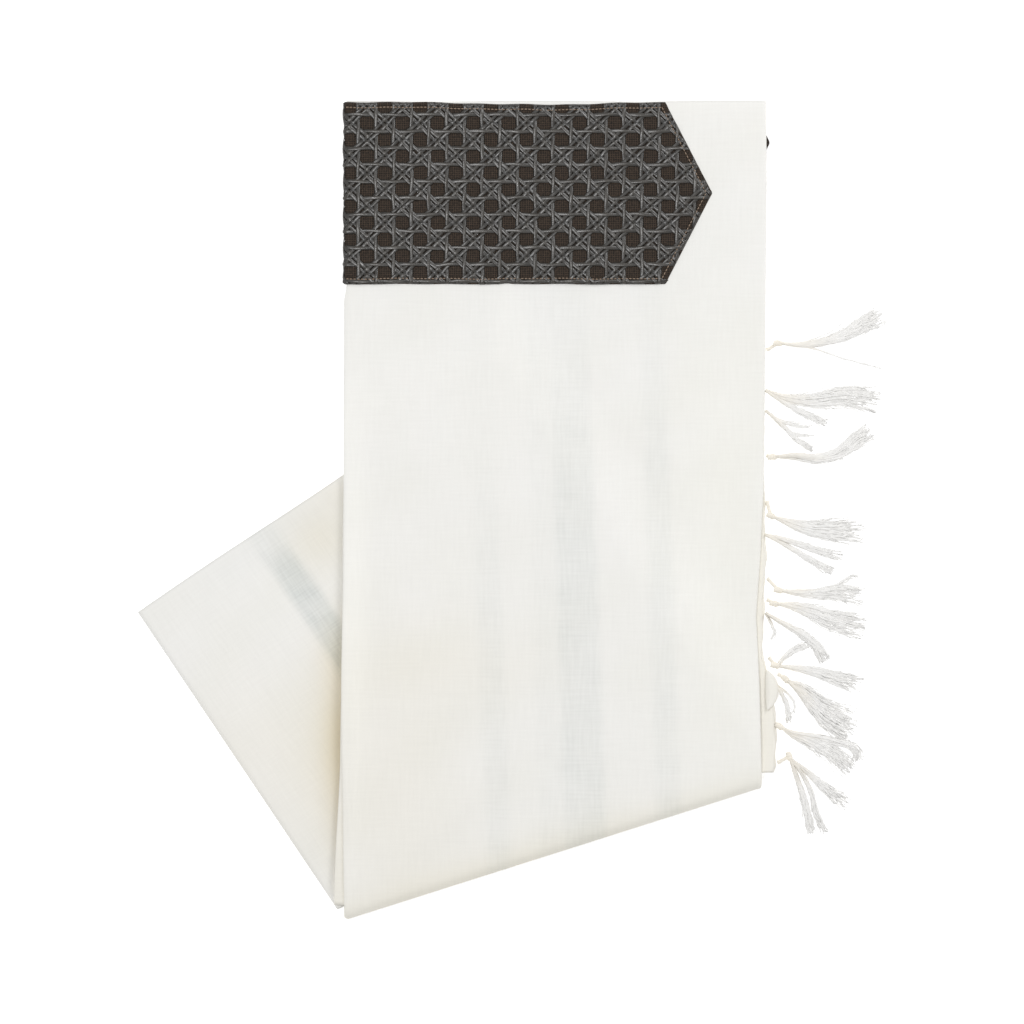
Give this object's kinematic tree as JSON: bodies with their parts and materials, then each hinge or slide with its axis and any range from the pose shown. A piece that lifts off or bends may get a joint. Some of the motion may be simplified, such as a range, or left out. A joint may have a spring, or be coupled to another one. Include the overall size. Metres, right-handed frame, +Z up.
{
  "type": "tallit prayer shawl",
  "caption": "Pale prayer shawl folded lengthways into a flat layered strip with one end turned back, a dark woven neck band across its top and knotted tassels along one side.",
  "frame": {"origin": "on the surface the shawl lies on, under the middle of its box", "axes": "+Z up out of the surface, +Y along the folded strip towards the neck band's edge, +X towards the tassels"},
  "size_m": [0.5248, 0.5737, 0.0143],
  "materials": {
    "cloth": "fine matt woven wool and silk blend, ivory, with soft tonal stripes",
    "band": "dark satin coated strips woven like chair cane over a dark ground weave",
    "fringe": "loose soft cream yarn, knotted"
  },
  "bodies": {
    "root": {"front_stretch": "cloth", "rear_stretch": "cloth", "hidden_layers": "cloth", "side_fold": "cloth", "fringed_border": "cloth", "neck_band": "band", "corner_patch": "band", "tassel_01": "fringe", "tassel_02": "fringe", "tassel_03": "fringe", "tassel_04": "fringe", "tassel_05": "fringe", "tassel_06": "fringe", "tassel_07": "fringe", "tassel_08": "fringe", "tassel_09": "fringe", "tassel_10": "fringe", "tassel_11": "fringe", "tassel_12": "fringe", "tassel_13": "fringe", "tassel_14": "fringe"}
  },
  "joints": []
}
